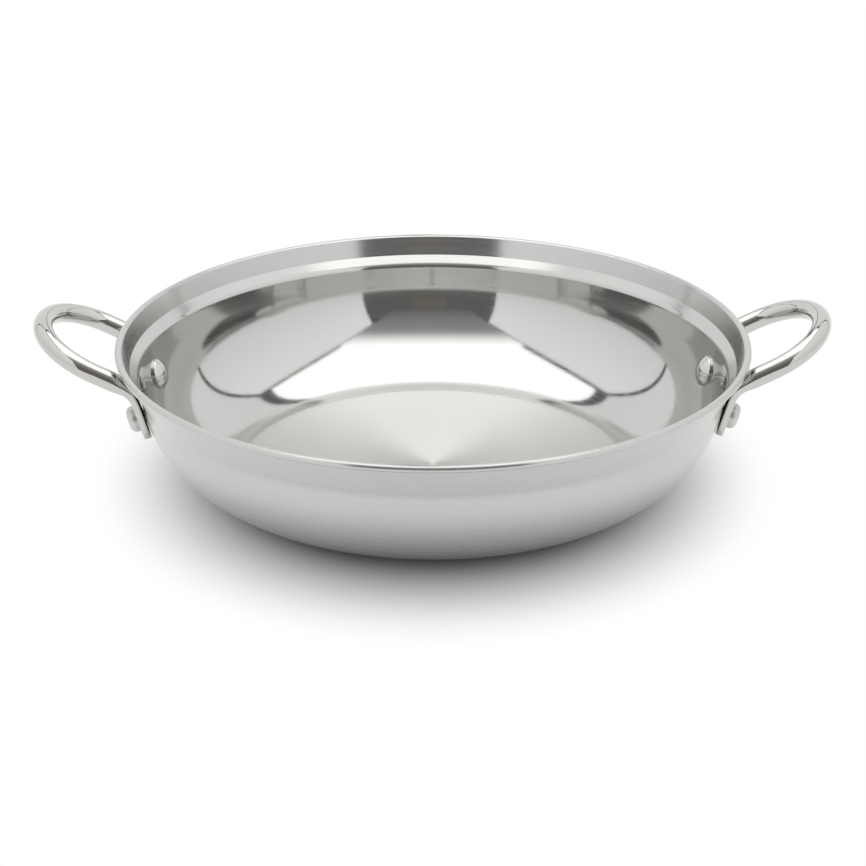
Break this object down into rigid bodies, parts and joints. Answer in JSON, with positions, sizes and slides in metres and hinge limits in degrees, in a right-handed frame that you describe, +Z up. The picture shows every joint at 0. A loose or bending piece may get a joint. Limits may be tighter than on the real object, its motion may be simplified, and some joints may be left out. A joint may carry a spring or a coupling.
{
  "type": "cooking pan",
  "caption": "Shallow round steel cooking pan with a flat base, curved wall, lid ledge, flared rolled rim and a riveted loop handle on each side.",
  "frame": {"origin": "centre of the flat underside, on the surface that the pan stands on", "axes": "+Z up along the bowl's axis, +X towards one handle and -X towards the other, -Y the front"},
  "size_m": [0.3766, 0.3, 0.0803],
  "materials": {
    "bowl_steel": "stainless steel sheet, spun and polished round the axis, fine circular brush lines",
    "handle_steel": "stainless steel bar, mirror polished",
    "rivet_steel": "stainless steel, polished dome inside the pan and dull button outside"
  },
  "bodies": {
    "root": {"pan_body": "bowl_steel", "handle_left": "handle_steel", "handle_right": "handle_steel", "rivet_left_front": "rivet_steel", "rivet_left_rear": "rivet_steel", "rivet_right_front": "rivet_steel", "rivet_right_rear": "rivet_steel"}
  },
  "joints": []
}
